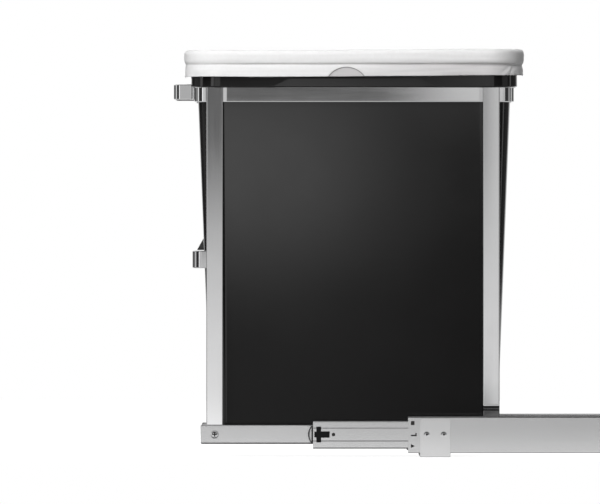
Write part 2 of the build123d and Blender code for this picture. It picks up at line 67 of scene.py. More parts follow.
BRACKET_EDGE = 0.0003
SAME_POINT = 1e-6
FLAT_ANGLE = math.radians(0.5)
SHARP_ANGLE = math.radians(40)
SHADED_ANGLE = math.radians(36)
OPENING_EDGE = 0.0003
OPENING_EDGE_STEPS = 2
WEB_FACING = 0.97
SAME_DEPTH = 1e-5
OUTER_DEPTH = 1e-4


def stand_for(node, name, mesh, materials):
    """Puts a finished mesh in the place of a solid, on the solid's body."""
    mesh.shade_smooth()
    mesh.set_sharp_from_angle(angle=SHADED_ANGLE)
    for material in materials:
        mesh.materials.append(material)
    piece = bpy.data.objects.new(name, mesh)
    bpy.context.scene.collection.objects.link(piece)
    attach(piece, frame["nodes"][node]["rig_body"])
    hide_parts(node)
    return piece


def broken_edges(node, radius, slot, *materials, punched=None, steps=3):
    """A copy of a solid with its sharp edges rounded off, which stands for it.

    Openings within the punched span of X and Z are closed behind by a sheet, and that sheet and the openings' cut
    walls take the second material, painted dark as shade.
    """
    shape = bmesh.new()
    shape.from_mesh(frame["nodes"][node].data)
    bmesh.ops.remove_doubles(shape, verts=shape.verts, dist=SAME_POINT)
    bmesh.ops.dissolve_limit(shape, angle_limit=FLAT_ANGLE, verts=shape.verts, edges=shape.edges)

    def at_opening(point):
        return punched and punched[0] < point.x < punched[1] and punched[2] < point.z < punched[3]

    def round_off(edges, size, segments):
        bmesh.ops.bevel(shape, geom=edges, offset=size, offset_type="OFFSET", affect="EDGES",
                        segments=segments, profile=0.5, material=-1, clamp_overlap=False)

    sharp = [edge for edge in shape.edges if edge.is_manifold and edge.calc_face_angle() > SHARP_ANGLE]
    rims = [edge for edge in sharp if all(at_opening(vert.co) for vert in edge.verts)]
    round_off([edge for edge in sharp if edge not in rims], radius, steps)
    if punched:
        rims = [edge for edge in rims
                if edge.is_valid and abs(edge.verts[0].co.y - edge.verts[1].co.y) < SAME_DEPTH]
        reach = max(abs(edge.verts[0].co.y) for edge in rims)
        outside = [edge for edge in rims if abs(edge.verts[0].co.y) > reach - OUTER_DEPTH]
        inside = [edge for edge in rims if edge not in outside]
        backs = bmesh.ops.edgeloop_fill(shape, edges=inside)["faces"]
        # The sheet behind each opening and the opening's cut walls are painted dark, as shade.
        for face in shape.faces:
            if face in backs or abs(face.normal.y) < WEB_FACING and at_opening(face.calc_center_median()):
                face.material_index = 1
        round_off(outside, OPENING_EDGE, OPENING_EDGE_STEPS)
    mesh = bpy.data.meshes.new(node + "_finish")
    shape.to_mesh(mesh)
    shape.free()
    if "custom_normal" in mesh.attributes:
        mesh.attributes.remove(mesh.attributes["custom_normal"])
    piece = stand_for(node, node + "_finish", mesh, materials)
    even = piece.modifiers.new("flat_faces_stay_flat", "WEIGHTED_NORMAL")
    even.keep_sharp = True
    even.weight = 100
    return piece


def feed(node, inputs):
    """Links each input of a node to a socket, or sets it to a value."""
    for name, value in inputs.items():
        if isinstance(value, bpy.types.NodeSocket):
            node.id_data.links.new(value, node.inputs[name])
        else:
            node.inputs[name].default_value = value


def wired(tree, kind, inputs=None, **settings):
    """A new node with its settings and inputs."""
    node = tree.nodes.new(kind)
    for name, value in settings.items():
        setattr(node, name, value)
    feed(node, inputs or {})
    return node


def new_group(name, takes, gives):
    """A node group for values: the group, the sockets that it takes, and the node that gives its results."""
    group = bpy.data.node_groups.new(name, "ShaderNodeTree")
    for socket, kind in takes.items():
        group.interface.new_socket(socket, in_out="INPUT", socket_type=kind)
    for socket in gives:
        group.interface.new_socket(socket, in_out="OUTPUT", socket_type="NodeSocketFloat")
    return group, group.nodes.new("NodeGroupInput").outputs, group.nodes.new("NodeGroupOutput")


STREAK_SHARE = 0.55
CLOUD_SHARE = 0.45
MARK_DEPTH = 0.00004


def strip_marks_group():
    """Rolling marks along a strip, and the cloudy patches of its plating."""
    group, taken, results = new_group(
        "strip_marks", {"Stretch": "NodeSocketVector", "Bright": "NodeSocketFloat", "Dull": "NodeSocketFloat"},
        ("Roughness", "Height", "Cloud"))
    here = wired(group, "ShaderNodeTexCoord").outputs["Object"]
    stretched = wired(group, "ShaderNodeVectorMath", {0: here, 1: taken["Stretch"]}, operation="MULTIPLY")
    streaks = wired(group, "ShaderNodeTexNoise",
                    {"Vector": stretched.outputs["Vector"], "Scale": 1.0, "Detail": 3.0}).outputs["Fac"]
    clouds = wired(group, "ShaderNodeTexNoise", {"Vector": here, "Scale": 38.0, "Detail": 4.0}).outputs["Fac"]
    streak_part = wired(group, "ShaderNodeMath", {0: streaks, 1: STREAK_SHARE}, operation="MULTIPLY")
    both = wired(group, "ShaderNodeMath", {0: clouds, 1: CLOUD_SHARE, 2: streak_part.outputs["Value"]},
                 operation="MULTIPLY_ADD")
    spread = wired(group, "ShaderNodeMapRange",
                   {"Value": both.outputs["Value"], "From Min": 0.34, "From Max": 0.66,
                    "To Min": taken["Bright"], "To Max": taken["Dull"]})
    feed(results, {"Roughness": spread.outputs["Result"], "Height": streaks, "Cloud": clouds})
    return group


strip_marks = strip_marks_group()


def new_material(name):
    """A new material with its node tree and its main shader."""
    material = bpy.data.materials.new(name)
    material.use_nodes = True
    return material, material.node_tree, material.node_tree.nodes["Principled BSDF"]


def tinted(first, second, share):
    """One colour fading into another."""
    mix = wired(share.id_data, "ShaderNodeMix", {"Factor": share, "A": first, "B": second}, data_type="RGBA")
    return mix.outputs["Result"]


def plated_steel(name, light, dark, bright, dull, stretch, relief):
    """Plated steel strip: two close greys, a span of roughness, and fine marks in one direction."""
    material, tree, shader = new_material(name)
    marks = wired(tree, "ShaderNodeGroup", node_tree=strip_marks)
    feed(marks, {"Stretch": stretch, "Bright": bright, "Dull": dull})
    bump = wired(tree, "ShaderNodeBump",
                 {"Strength": relief, "Distance": MARK_DEPTH, "Height": marks.outputs["Height"]})
    feed(shader, {"Metallic": 1.0, "Roughness": marks.outputs["Roughness"],
                  "Base Color": tinted((*light, 1), (*dark, 1), marks.outputs["Cloud"]),
                  "Normal": bump.outputs["Normal"]})
    return material


bracket_zinc = plated_steel("bracket_zinc", light=(0.93, 0.93, 0.935), dark=(0.91, 0.91, 0.915),
                            bright=0.2, dull=0.24, stretch=(60, 30, 500), relief=0.01)
for node in ("front_floor_bracket", "rear_floor_bracket"):
    broken_edges(node, BRACKET_EDGE, "bracket_steel", bracket_zinc)


# Outer rails: rolled zinc-plated strip, one on each side, with stop tabs lanced through the web in front.
# Their edges are rolled round the outer rows of balls, and the outer bend along the top is painted dark as a
# reflection of dark surroundings.
# The lanced openings are closed behind by a sheet, and that sheet and their cut edges are painted dark as shade.

SIDES = ("left", "right")
OUTER_RAIL_EDGE = 0.00015
LANCED_SPAN = (-0.1976, -0.1886, 0.0105, 0.0445)
TOP_BEND_HEIGHT = 0.046
BEND_LEAST_SLOPE, BEND_MOST_SLOPE = 0.2, 0.97
ALONG_RAIL = (8, 600, 600)
rail_zinc = plated_steel("rail_zinc", light=(0.82, 0.82, 0.825), dark=(0.79, 0.79, 0.795),
                         bright=0.2, dull=0.24, stretch=ALONG_RAIL, relief=0.01)
# A dark steel that paints shade into openings, hollows and under steps.
painted_shade = plated_steel("painted_shade", light=(0.09, 0.088, 0.086), dark=(0.05, 0.048, 0.047),
                            bright=0.45, dull=0.6, stretch=(300, 300, 300), relief=0.2)
# A dark zinc that paints a dark reflection along the outer top bend.
painted_bend_reflection = plated_steel("painted_bend_reflection", light=(0.3, 0.3, 0.3), dark=(0.26, 0.26, 0.26),
                           bright=0.2, dull=0.24, stretch=ALONG_RAIL, relief=0.01)


def faces_out(face):
    """Whether a face looks away from the middle of the object."""
    return face.normal.y * face.center.y > 0


for side in SIDES:
    outer_rail = broken_edges(f"outer_rail_{side}", OUTER_RAIL_EDGE, "rail_steel",
                              rail_zinc, painted_shade, painted_bend_reflection, punched=LANCED_SPAN)
    # The outer bend along the top is painted dark, as a reflection of dark surroundings.
    for face in outer_rail.data.polygons:
        slopes = BEND_LEAST_SLOPE < face.normal.z < BEND_MOST_SLOPE
        if face.center.z > TOP_BEND_HEIGHT and faces_out(face) and slopes:
            face.material_index = 2


# Rivets: bright semi-tubular steel rivets with domed heads, set from outside through bracket and rail.
# They are cold headed and plated, and the hollow in the middle of each head is painted dark as shade.

rivet_low, rivet_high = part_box("bracket_rivets")
SLIDE_HEIGHT = (rivet_low.z + rivet_high.z) / 2
RIVET_XS = (-0.1775, -0.1571, 0.1571, 0.1775)
RIVET_HEAD = 0.0036
RIVET_RISE = 0.0012
RIVET_SHANK = 0.002
RIVET_TAIL = 0.0031
RIVET_HOLLOW = 0.0013
HOLLOW_FLOOR = RIVET_RISE - 0.0011
HOLLOW_WALL_FOOT = RIVET_RISE - 0.001
HOLLOW_LIP = 0.00008
CLOUD_TONE = 0.93


def bright_steel(name, colour, bright, dull):
    """Bright plated steel with faint handling marks and no direction to its finish."""
    return plated_steel(name, light=colour, dark=tuple(CLOUD_TONE * part for part in colour),
                        bright=bright, dull=dull, stretch=(400, 400, 400), relief=0.1)


def turned(profile, steps=32):
    """A solid of revolution about Z from a profile of (radius, height) points that starts and ends on the axis."""
    shape = bmesh.new()
    rim = [shape.verts.new((radius, 0, height)) for radius, height in profile]
    edges = [shape.edges.new(pair) for pair in zip(rim, rim[1:])]
    bmesh.ops.spin(shape, geom=rim + edges, cent=(0, 0, 0), axis=(0, 0, 1), angle=math.radians(360),
                   steps=steps, use_merge=True)
    bmesh.ops.remove_doubles(shape, verts=shape.verts, dist=SAME_POINT)
    bmesh.ops.recalc_face_normals(shape, faces=shape.faces)
    return shape


def domed(radius, rise, shares):
    """Points of a domed head, at shares of the way from its top to its rim."""
    ball = (radius ** 2 + rise ** 2) / (2 * rise)
    return [(radius * share, math.sqrt(ball ** 2 - (radius * share) ** 2) - ball + rise) for share in shares]


def set_fasteners(name, part, xs, seat, node, slot, *materials):
    """Copies of a fastener with heads outwards on both sides of the object, which stand for a node."""
    whole = bmesh.new()
    for x in xs:
        for side in (-1, 1):
            copy = part.copy()
            outwards = Matrix.Rotation(math.radians(-90 * side), 4, "X")
            place = Matrix.Translation((x, side * seat, SLIDE_HEIGHT)) @ outwards
            bmesh.ops.transform(copy, matrix=place, verts=copy.verts)
            one = bpy.data.meshes.new(name + "_one")
            copy.to_mesh(one)
            copy.free()
            whole.from_mesh(one)
            bpy.data.meshes.remove(one)
    part.free()
    mesh = bpy.data.meshes.new(name)
    whole.to_mesh(mesh)
    whole.free()
    stand_for(node, name, mesh, materials)


fastener_plate = bright_steel("fastener_plate", (0.84, 0.84, 0.845), bright=0.05, dull=0.09)
rivet = turned([(0, HOLLOW_FLOOR), (RIVET_HOLLOW, HOLLOW_WALL_FOOT)]
               + domed(RIVET_HEAD, RIVET_RISE, (0.38, 0.43, 0.5, 0.6, 0.7, 0.82, 0.92, 1.0))
               + [(RIVET_SHANK, 0), (RIVET_SHANK, -RIVET_TAIL), (0, -RIVET_TAIL)])
# The hollow in each head is painted dark, as shade.
for face in rivet.faces:
    middle = face.calc_center_median()
    if middle.z > 0 and math.hypot(middle.x, middle.y) < RIVET_HOLLOW + HOLLOW_LIP:
        face.material_index = 1
set_fasteners("rivets_set", rivet, RIVET_XS, rivet_high.y - RIVET_RISE, "bracket_rivets",
              "fastener_steel", fastener_plate, painted_shade)


# Rear bumpers: black plastic blocks pressed into the back ends of the outer rails.
# They are injection moulded with a dull grain, and the other rails come up to them when the slide is closed.

BUMPER_EDGE = 0.0005
GRAIN_DEPTH = 0.00005


def moulded_grain_group():
    """The fine grain of a moulded plastic face, and the slow change of its sheen."""
    group, taken, results = new_group(
        "moulded_grain", {"Grain Scale": "NodeSocketFloat", "Bright": "NodeSocketFloat", "Dull": "NodeSocketFloat"},
        ("Roughness", "Height"))
    here = wired(group, "ShaderNodeTexCoord").outputs["Object"]
    grain = wired(group, "ShaderNodeTexNoise", {"Vector": here, "Scale": taken["Grain Scale"], "Detail": 2.0})
    sheen = wired(group, "ShaderNodeTexNoise", {"Vector": here, "Scale": 9.0, "Detail": 3.0})
    spread = wired(group, "ShaderNodeMapRange",
                   {"Value": sheen.outputs["Fac"], "From Min": 0.35, "From Max": 0.65,
                    "To Min": taken["Bright"], "To Max": taken["Dull"]})
    feed(results, {"Roughness": spread.outputs["Result"], "Height": grain.outputs["Fac"]})
    return group


moulded_grain = moulded_grain_group()


def moulded_plastic(name, colour, bright, dull, grain_scale, relief, gloss=0.5):
    """Injection-moulded plastic with a fine grain."""
    material, tree, shader = new_material(name)
    grain = wired(tree, "ShaderNodeGroup", node_tree=moulded_grain)
    feed(grain, {"Grain Scale": grain_scale, "Bright": bright, "Dull": dull})
    bump = wired(tree, "ShaderNodeBump",
                 {"Strength": relief, "Distance": GRAIN_DEPTH, "Height": grain.outputs["Height"]})
    feed(shader, {"Base Color": (*colour, 1), "IOR": 1.55, "Specular IOR Level": gloss,
                  "Roughness": grain.outputs["Roughness"], "Normal": bump.outputs["Normal"]})
    return material


stop_plastic = moulded_plastic("stop_plastic", (0.006, 0.006, 0.0065), bright=0.5, dull=0.65,
                               grain_scale=1500, relief=0.3, gloss=0.15)
for side in SIDES:
    broken_edges(f"rear_bumper_{side}", BUMPER_EDGE, "stop_plastic", stop_plastic)


# Outer ball cages and their balls: thin plain steel strip with a pocket for each polished ball.
# The strip is pierced and bent to a channel, and it runs loose between the outer and middle rails.

def refinish(node, material):
    """Gives a solid that keeps its own shape a finished material."""
    solid = frame["nodes"][node]
    solid.data.materials.clear()
    solid.data.materials.append(material)


cage_strip = plated_steel("cage_strip", light=(0.6, 0.6, 0.61), dark=(0.52, 0.52, 0.53),
                          bright=0.3, dull=0.42, stretch=(20, 700, 700), relief=0.2)
polished_ball = bright_steel("polished_ball", (0.74, 0.74, 0.75), bright=0.06, dull=0.12)
for side in SIDES:
    refinish(f"outer_ball_cage_{side}", cage_strip)
    refinish(f"outer_balls_{side}", polished_ball)


# Middle rails: rolled zinc-plated strip with an S-shaped flange above and below, and a raised band along the web.
# They run on balls between the outer and inner rails. The band's lower step and the dimple are painted dark, as
# shade.

MIDDLE_RAIL_EDGE = 0.00012
DIMPLE_SPAN = (-0.2925, -0.2864, 0.0244, 0.0306)
SHADE_LINE_LOW, SHADE_LINE_HIGH = 0.019, 0.0225
STEP_SLOPE = -0.2
for side in SIDES:
    middle_rail = broken_edges(f"middle_rail_{side}", MIDDLE_RAIL_EDGE, "rail_steel",
                               rail_zinc, painted_shade, punched=DIMPLE_SPAN)
    # The band's lower step is painted dark, as a shadow line.
    for face in middle_rail.data.polygons:
        if SHADE_LINE_LOW < face.center.z < SHADE_LINE_HIGH and faces_out(face) and face.normal.z < STEP_SLOPE:
            face.material_index = 1


# Stop clips: black plastic clips, one in the front end of each middle rail, of the same plastic as the bumpers.
# Each is one moulding: a plate behind the rail's web, a cross through a window in it, and a sprung nose in front.

CLIP_EDGE = 0.0002
for side in SIDES:
    broken_edges(f"stop_clip_{side}", CLIP_EDGE, "stop_plastic", stop_plastic)


# Inner ball cages and their balls: the same plain strip and polished balls as the outer ones.
# They run loose between the middle and inner rails.

for side in SIDES:
    refinish(f"inner_ball_cage_{side}", cage_strip)
    refinish(f"inner_balls_{side}", polished_ball)


# Inner rails: rolled zinc-plated strip, the narrowest of each slide, with a groove for balls along both flanges.
# They are screwed to the legs of the frame and carry it.

INNER_RAIL_EDGE = 0.0004
for side in SIDES:
    broken_edges(f"inner_rail_{side}", INNER_RAIL_EDGE, "rail_steel", rail_zinc)


# Leg frames: flat steel bar, bent to a U that runs down one side, under the bucket and up the other.
# The bar is ground, polished and chrome plated after bending.
# A short length at the foot of each rear leg, beside the slide, is painted dark as shade.

BAR_EDGE = 0.0012
BAR_EDGE_STEPS = 5
UP_BAR = (500, 500, 12)
FOOT_SHADE_LOW, FOOT_SHADE_HIGH = 0.0395, 0.0621
FOOT_SHADE_SIDE = 0.12
bar_upright = plated_steel("bar_upright", light=(0.8, 0.8, 0.805), dark=(0.77, 0.77, 0.775),
                           bright=0.05, dull=0.075, stretch=UP_BAR, relief=0.02)
painted_foot_shade = plated_steel("painted_foot_shade", light=(0.2, 0.2, 0.2), dark=(0.17, 0.17, 0.17),
                         bright=0.05, dull=0.075, stretch=UP_BAR, relief=0.02)
broken_edges("front_leg_frame", BAR_EDGE, "polished_bar", bar_upright, steps=BAR_EDGE_STEPS)
rear_legs = broken_edges("rear_leg_frame", BAR_EDGE, "polished_bar", bar_upright, painted_foot_shade, steps=BAR_EDGE_STEPS)
# The foot of each rear leg is painted dark, as shade.
for face in rear_legs.data.polygons:
    if FOOT_SHADE_LOW < face.center.z < FOOT_SHADE_HIGH and abs(face.center.y) > FOOT_SHADE_SIDE:
        face.material_index = 1


# Top hoop: a closed ring of the same bar on edge, with rounded corners, which the bucket's rim sits on.
# It is spot welded to the insides of the legs, and its polish runs along the bar.

ALONG_BAR = (12, 12, 500)
bar_level = plated_steel("bar_level", light=(0.8, 0.8, 0.805), dark=(0.77, 0.77, 0.775),
                         bright=0.05, dull=0.075, stretch=ALONG_BAR, relief=0.02)
broken_edges("top_hoop", BAR_EDGE, "polished_bar", bar_level, steps=BAR_EDGE_STEPS)


# Front handle: a splayed U of the same bar, by which the bin is drawn out.
# Its feet are spot welded to the front of the hoop.

broken_edges("front_handle", BAR_EDGE, "polished_bar", bar_level, steps=BAR_EDGE_STEPS)


# Lower front band: a U of the same bar round the front of the bucket, which joins the two front legs.
# Its ends are spot welded inside the legs, and its chrome is painted a little darker, standing for a darker
# reflection.

painted_dark_band_bar = plated_steel("painted_dark_band_bar", light=(0.68, 0.68, 0.685), dark=(0.65, 0.65, 0.655),
                        bright=0.05, dull=0.075, stretch=ALONG_BAR, relief=0.02)
broken_edges("lower_front_band", BAR_EDGE, "polished_bar", painted_dark_band_bar, steps=BAR_EDGE_STEPS)


# Rail screws: bright pan-head screws with a cross recess, through the inner rails into the legs.
# The heads are cold formed, and the recess is struck in with a punch; its bottom is painted dark as shade.

_, screw_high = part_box("rail_screws")
SCREW_XS = (-0.432, -0.1)
SCREW_HEAD = 0.005
SCREW_RISE = 0.0026
SCREW_SHANK = 0.0025
SCREW_TAIL = 0.0051
RECESS_HALF_WIDTH = 0.0007
RECESS_HALF_LENGTH = 0.0027
RECESS_FLOOR = SCREW_RISE - 0.0016
HEAD_ONLY = 0.0005
RECESS_FLOOR_PLAY = 1e-5
screw = turned(domed(SCREW_HEAD, SCREW_RISE, (0, 0.2, 0.4, 0.56, 0.7, 0.82, 0.92, 1.0))
               + [(SCREW_SHANK, 0), (SCREW_SHANK, -SCREW_TAIL), (0, -SCREW_TAIL)])
for across in ((1, 0, 0), (0, 1, 0)):
    for reach in (-RECESS_HALF_LENGTH, -RECESS_HALF_WIDTH, RECESS_HALF_WIDTH, RECESS_HALF_LENGTH):
        bmesh.ops.bisect_plane(screw, geom=screw.verts[:] + screw.edges[:] + screw.faces[:],
                               plane_co=Vector(across) * reach, plane_no=across)


def in_recess(point):
    """Whether a place on the head is within the arms of the cross."""
    near, far = sorted((abs(point.x), abs(point.y)))
    return point.z > HEAD_ONLY and near < RECESS_HALF_WIDTH and far < RECESS_HALF_LENGTH


cross = [face for face in screw.faces if in_recess(face.calc_center_median())]
sunk = bmesh.ops.extrude_face_region(screw, geom=cross)["geom"]
bmesh.ops.delete(screw, geom=cross, context="FACES")
for part in sunk:
    if isinstance(part, bmesh.types.BMVert):
        part.co.z = RECESS_FLOOR
bmesh.ops.recalc_face_normals(screw, faces=screw.faces)
# The bottom of the recess is painted dark, as shade.
for face in screw.faces:
    middle = face.calc_center_median()
    if in_recess(middle) and abs(middle.z - RECESS_FLOOR) < RECESS_FLOOR_PLAY:
        face.material_index = 1
set_fasteners("screws_set", screw, SCREW_XS, screw_high.y - SCREW_RISE, "rail_screws",
              "fastener_steel", fastener_plate, painted_shade)


# Bucket: one deep black moulding, with draft on its walls, a stepped rim, and a skirt that sits on the hoop.
# Its faces have a fine satin grain from the mould.

BUCKET_EDGE = 0.0006
bucket_black = moulded_plastic("bucket_black", (0.0075, 0.0073, 0.0073), bright=0.06, dull=0.085,
                               grain_scale=1100, relief=0.02)
broken_edges("bucket", BUCKET_EDGE, "bucket_plastic", bucket_black)


# Bag liner: a tube of soft white film with a sealed bottom, open at the top.
# It lines the bucket, and its mouth is turned out over the rim as a cuff, tucked in at a half-moon each side.

low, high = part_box("liner_bag")
centre_x = (low.x + high.x) / 2
cuff_half = Vector(((high.x - low.x) / 2, (high.y - low.y) / 2))
FILM_THICKNESS = 0.00025
LOOP_SPACING = 0.0021
CORNER_STEPS = 26
CUFF_CORNER = 0.0442
CUFF_ROLL = 0.0051
CUFF_ROLL_ANGLES = (18, 36, 54, 72, 90)
RIM_TOP = high.z - FILM_THICKNESS / 2
ROLL_FOOT = RIM_TOP - CUFF_ROLL
BEAD_INSET = 0.00015
BEAD_ROWS = 3
HEM_HEIGHT = 0.4564
HEM_INSET = 0.0011
HEM_TAPER = 0.0007
HEM_ROWS = 12
HEM_RISE = 0.002
HEM_WAVE = 0.0009
FAR_HEM_RISE = 0.0034
FAR_HEM_SPAN = (-0.06, 0.06)
CREASE_HEIGHT = 0.4731
CREASE_BELOW = 0.0034
CREASE_ABOVE = 0.0046
CREASE_ROWS = ((-0.0024, 0.002), (-0.0014, 0.002), (-0.0006, 0.0015), (0.0002, 0.0011), (0.001, 0.0008),
               (0.002, 0.00055), (0.0034, 0.0003), (CREASE_ABOVE, 0.0002))
CREASE_BOTTOM = CREASE_HEIGHT - 0.0014
CREASE_WAVER = 0.0007
TOP_LIFT = 0.0013
TOP_LIFT_SPAN = (-0.36, -0.12)
TOP_WAVE = 0.0004
FINE_RIPPLE = 0.00035
LEVEL_RIPPLE = 0.0005
LEVEL_RIPPLE_SPAN = (-0.3, -0.1)
CORNER_CRUMPLE = 0.0006
PLEAT_DEPTH = 0.0011
PLEATS_START = -0.13
CORNER_PLEATS = (((-0.0752, 0.4712), (-0.0862, 0.4608), 0.0011), ((-0.0715, 0.4702), (-0.0768, 0.4588), 0.0013))
TUCK_X = -0.2738
TUCK_HALF = 0.0222
TUCK_RISE = 0.012
TUCK_DEPTH = 0.0016
TUCK_RADIUS = (TUCK_HALF ** 2 + TUCK_RISE ** 2) / (2 * TUCK_RISE)
TUCK_FOOT = 0.456
TUCK_CENTRE = TUCK_FOOT + TUCK_RISE - TUCK_RADIUS
TUCK_SOFT_EDGE = 0.00045
BAG_HALF_IN_HOOP = Vector((0.18825, 0.12625))
BAG_CORNER_IN_HOOP = 0.036
HOOP_TOP = 0.4448
DRAFT = math.tan(math.radians(2.22))
WALL_INSET = 0.0031
WALL_TOP = RIM_TOP - 0.0016
WALL_ROWS = 28
WALL_SLACK = 0.0016
WALL_FOLDS = 0.0022
WALL_CRUMPLE = 0.0014
WALL_CREASES = 0.0045
BAG_FLOOR = 0.0303
BAG_FLOOR_CORNER = 0.006
FLOOR_INSET = WALL_INSET + 0.002
FLOOR_ROWS = 8
FLOOR_LIFT = 0.0004
FLOOR_WAVE = 0.0012


def film_loop(half, corner):
    """Places round a rounded rectangle: which corner or side each belongs to, and which way it faces."""
    places = []
    across = max(2, round(2 * (half.x - corner) / LOOP_SPACING))
    deep = max(2, round(2 * (half.y - corner) / LOOP_SPACING))
    corners = ((1, -1, -90), (1, 1, 0), (-1, 1, 90), (-1, -1, 180))
    for index, (sx, sy, start) in enumerate(corners):
        for step in range(CORNER_STEPS):
            angle = math.radians(start + 90 * step / CORNER_STEPS)
            places.append((sx, sy, math.cos(angle), math.sin(angle)))
        nx, ny, _ = corners[(index + 1) % 4]
        count = deep if nx == sx else across
        angle = math.radians(start + 90)
        for step in range(count):
            share = step / count
            places.append((sx + (nx - sx) * share, sy + (ny - sy) * share, math.cos(angle), math.sin(angle)))
    return places


def share_of(value, start, end):
    """How far a value is on the way from a start to an end, from 0 to 1."""
    return max(0.0, min(1.0, (value - start) / (end - start)))


def ripple(place, scale):
    """A smooth random value from -1 to 1."""
    return noise.noise(Vector(place) * scale)


def tucked(x, z):
    """How far the film is pushed in at the half-moon holes of the skirt, from 0 to 1."""
    reach = math.hypot(x - TUCK_X, z - TUCK_CENTRE)
    return share_of(TUCK_RADIUS - reach, -TUCK_SOFT_EDGE, TUCK_SOFT_EDGE)


def lifted(x):
    """How far the film stands off the top of the rim, which it does towards the back."""
    share = share_of(x, *TOP_LIFT_SPAN)
    return TOP_LIFT * share * share * (3 - 2 * share)


def drawn_in(x, below):
    """How far the film is drawn in at a height below its crease. It hangs on from there, and more so at the back."""
    back = share_of(x, low.x, high.x)
    depth = 0.001 + 0.0024 * back
    width, kept = (0.0008, 0.0) if below < 0 else (0.001 + 0.0036 * back, 0.6 + 0.3 * back)
    return depth * (kept + (1 - kept) * math.exp(-(below / width) ** 2))


def pleat(x, z, start, end, width):
    """How near a place is to a fold line across the cuff, from 0 to 1."""
    line = Vector((end[0] - start[0], end[1] - start[1]))
    along = share_of(Vector((x - start[0], z - start[1])).dot(line), 0.0, line.length_squared)
    return math.exp(-(math.hypot(x - start[0] - line.x * along, z - start[1] - line.y * along) / width) ** 2)


def cuff_fold(x, y, z, nx, ny, weight):
    """How far the cuff stands out at a place, and the height that it ends at. The weight is most at the hem."""
    height = z
    long_wave = ripple((x, y, 3.1), 11)
    move = FINE_RIPPLE * ripple((x, y, z * 0.6), 60) * weight
    if height < CREASE_HEIGHT:
        z += HEM_WAVE * long_wave * weight + HEM_RISE * share_of(x, low.x, high.x) * weight
        z += FAR_HEM_RISE * weight * share_of(y, *FAR_HEM_SPAN)
        if abs(ny) > 0.9:
            move -= TUCK_DEPTH * tucked(x, z)
    else:
        z += TOP_WAVE * long_wave + lifted(x) * (height - CREASE_HEIGHT) / (RIM_TOP - CREASE_HEIGHT)
    if abs(nx * ny) > 0.01:
        move += CORNER_CRUMPLE * ripple((x, y, z), 130) * weight
    waver = CREASE_WAVER * ripple((x, y, 8.3), 19)
    slack = 0.8 + 0.7 * ripple((x, y, 5.7), 14)
    move -= drawn_in(x, CREASE_BOTTOM + waver - height) * slack * (0.2 + 0.8 * ny * ny)
    strength = 0.4 + 0.6 * share_of(x, *LEVEL_RIPPLE_SPAN)
    move += LEVEL_RIPPLE * ripple((x * 0.12, y * 0.12, z * 1.7), 170) * strength
    if x > PLEATS_START:
        move -= PLEAT_DEPTH * sum(pleat(x, z, *line) for line in CORNER_PLEATS)
    return move, z


def top_fold(x, y, z, nx, ny, weight):
    """The film over the top of the rim, which settles towards the inside."""
    return 0.0, z + lifted(x) * (1 - weight)


def wall_fold(x, y, z, nx, ny, weight):
    """The slack film of the wall, which only ever folds inwards."""
    fold = ripple((x, y, z * 0.12), 34)
    crumple = ripple((x, y, z), 24)
    crease = (1 - abs(ripple((x, y, z * 0.4), 17))) ** 7
    slack = WALL_SLACK + WALL_FOLDS * fold + WALL_CRUMPLE * crumple + WALL_CREASES * crease
    return min(0.0, -slack * weight), z


def floor_fold(x, y, z, nx, ny, weight):
    """The film on the bucket's floor."""
    return 0.0, z + (FLOOR_WAVE + FLOOR_WAVE * ripple((x, y, 0.7), 30)) * weight


def bag_section(height, inset):
    """Half sizes and corner of the bag's wall inside the bucket."""
    out = (height - HOOP_TOP) * DRAFT - inset
    return BAG_HALF_IN_HOOP.x + out, BAG_HALF_IN_HOOP.y + out, BAG_CORNER_IN_HOOP + out


rows = []


def cuff_row(height, inset, weight):
    """Adds a row of film round the cuff."""
    rows.append((cuff_half.x - inset, cuff_half.y - inset, CUFF_CORNER - inset, height, weight, cuff_fold))


for step in range(HEM_ROWS + 1):
    share = step / HEM_ROWS
    cuff_row(HEM_HEIGHT + (CREASE_HEIGHT - CREASE_BELOW - HEM_HEIGHT) * share, HEM_INSET + HEM_TAPER * share ** 3,
             1 - 0.9 * share)
for rise, inset in CREASE_ROWS:
    cuff_row(CREASE_HEIGHT + rise, inset, 0.1)
bead_foot = CREASE_HEIGHT + CREASE_ABOVE
for step in range(1, BEAD_ROWS + 1):
    cuff_row(bead_foot + (ROLL_FOOT - bead_foot) * step / BEAD_ROWS, BEAD_INSET, 0.3)
for angle in CUFF_ROLL_ANGLES:
    turn = math.radians(angle)
    cuff_row(ROLL_FOOT + CUFF_ROLL * math.sin(turn), BEAD_INSET + CUFF_ROLL * (1 - math.cos(turn)), 0.25)
top_in = bag_section(RIM_TOP, WALL_INSET)
top_out = rows[-1][:3]
for share in (0.25, 0.5, 0.75, 0.93):
    section = [outer + (inner - outer) * share for outer, inner in zip(top_out, top_in)]
    rows.append((*section, RIM_TOP - 0.0002 * share, share, top_fold))
for step in range(WALL_ROWS + 1):
    share = step / WALL_ROWS
    height = WALL_TOP + (BAG_FLOOR + BAG_FLOOR_CORNER - WALL_TOP) * share
    rows.append((*bag_section(height, WALL_INSET), height, min(1.0, 0.05 + 4 * share), wall_fold))
for step in range(FLOOR_ROWS):
    keep = 1 - step / FLOOR_ROWS
    section = [size * keep for size in bag_section(BAG_FLOOR, FLOOR_INSET)]
    rows.append((*section, BAG_FLOOR + FLOOR_LIFT, keep, floor_fold))

